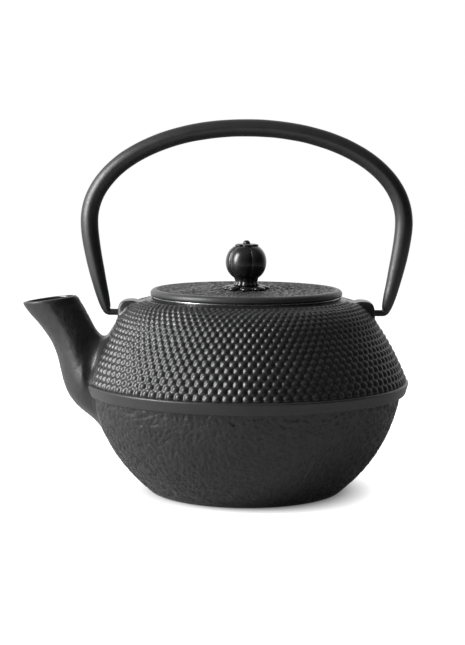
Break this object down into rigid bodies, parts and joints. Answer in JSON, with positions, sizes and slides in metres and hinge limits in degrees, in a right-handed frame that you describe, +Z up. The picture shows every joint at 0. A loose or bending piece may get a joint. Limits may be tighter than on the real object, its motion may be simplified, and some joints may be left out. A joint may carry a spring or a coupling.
{
  "type": "cast iron teapot",
  "caption": "Round cast iron teapot with a hobnailed shoulder, open spout, swinging bail handle, flat lid with a lobed knob, and a lift-out steel strainer.",
  "frame": {"origin": "centre of the pot's flat base, on the body's axis", "axes": "+Z up along the body's axis, -X towards the spout, hinge axis of the handle along X"},
  "size_m": [0.1959, 0.164, 0.1865],
  "materials": {
    "pot_iron": "satin black coat over hobnailed cast iron, with black enamel inside",
    "handle_iron": "satin black coat",
    "lid_iron": "satin black coat over a sand-cast grain",
    "knob_gloss": "gloss black coat",
    "fastener_steel": "plain zinc-plated steel",
    "polished_steel": "polished stainless sheet",
    "mesh_steel": "woven stainless mesh"
  },
  "bodies": {
    "pot": {"pot": "pot_iron"},
    "handle": {"handle": "handle_iron"},
    "infuser": {"infuser_rim": "polished_steel", "infuser_wall": "mesh_steel", "infuser_base_ring": "polished_steel", "infuser_base": "mesh_steel"},
    "lid": {"lid": "lid_iron", "knob": "knob_gloss", "knob_rosette": "knob_gloss", "knob_screw": "fastener_steel", "knob_washer": "fastener_steel"}
  },
  "joints": [
    {"name": "handle_swing", "type": "hinge", "parent": "pot", "child": "handle", "pos_m": [0, 0, 0.0896], "axis": [1, 0, 0], "range_deg": [-107, 107]},
    {"name": "infuser_lift", "type": "slide", "parent": "pot", "child": "infuser", "axis": [0, 0, 1], "range_m": [0, 0.048]},
    {"name": "lid_lift", "type": "slide", "parent": "infuser", "child": "lid", "axis": [0, 0, 1], "range_m": [0, 0.048]}
  ]
}
